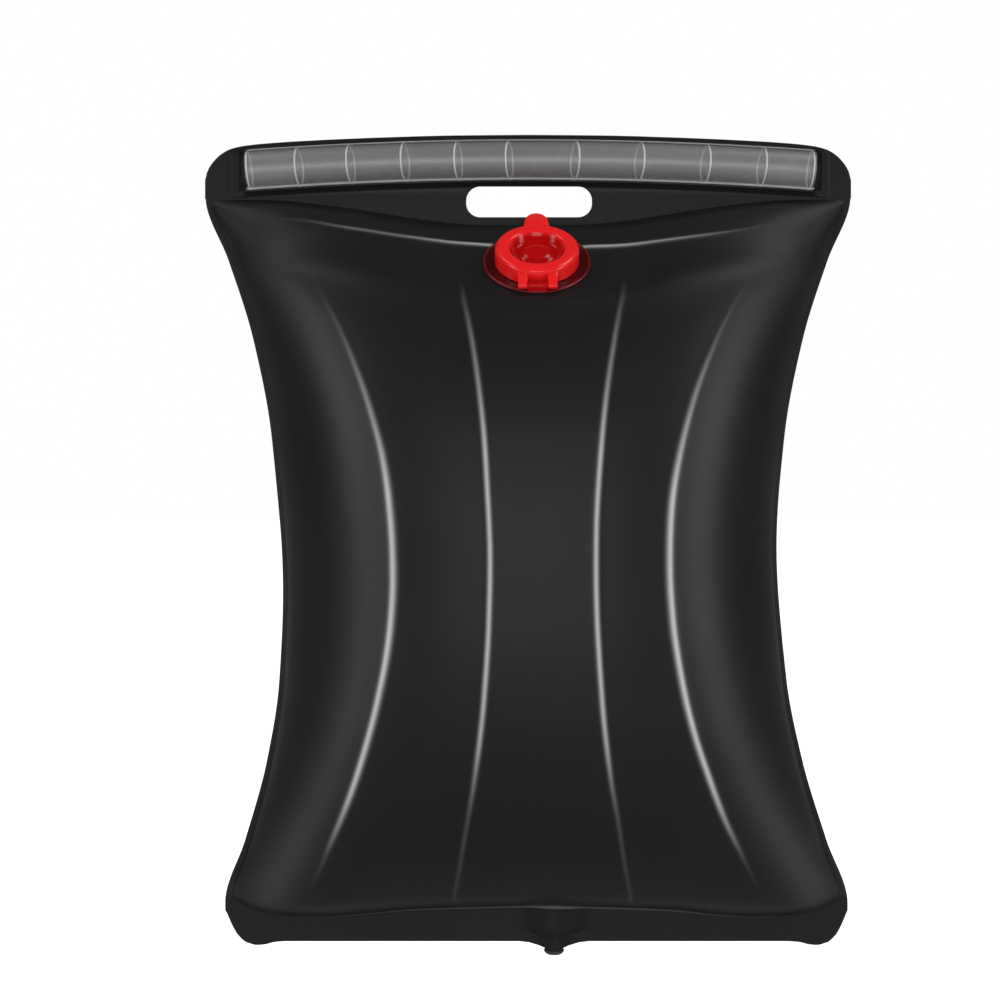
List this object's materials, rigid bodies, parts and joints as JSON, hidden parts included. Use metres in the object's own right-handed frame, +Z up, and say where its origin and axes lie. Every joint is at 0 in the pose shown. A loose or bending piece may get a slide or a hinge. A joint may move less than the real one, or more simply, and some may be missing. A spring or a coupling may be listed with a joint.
{
  "type": "camp shower bag",
  "caption": "Filled black water bag that hangs from a see-through handle tube, with a hand slot, a red hinged filler lid and a stoppered outlet at the bottom.",
  "frame": {"origin": "middle of the hand slot's top edge, in the weld plane between the two films, where the fingers carry the sleeve of the handle tube", "axes": "+Z up along the hanging bag, the filler faces -Y, +X to the right when the filler faces the viewer"},
  "size_m": [0.439, 0.202, 0.5564],
  "materials": {
    "black_film": "satin",
    "clear_strip": "gloss",
    "smoke_tube": "gloss",
    "red_plastic": "gloss",
    "dark_plastic": "satin",
    "grey_rubber": "matte"
  },
  "bodies": {
    "bag": {"front_panel": "black_film", "back_panel": "black_film", "sleeve_window": "clear_strip", "handle_tube": "smoke_tube", "filler_base": "red_plastic", "outlet_spout": "dark_plastic"},
    "cap": {"filler_cap": "red_plastic"},
    "stopper": {"outlet_stopper": "grey_rubber"}
  },
  "joints": [
    {"name": "cap_hinge", "type": "hinge", "parent": "bag", "child": "cap", "pos_m": [0.005, -0.07295, -0.07652], "axis": [1, 0, 0], "range_deg": [0, 130]},
    {"name": "stopper_pull", "type": "slide", "parent": "bag", "child": "stopper", "axis": [0, 0, -1], "range_m": [0, 0.03]}
  ]
}
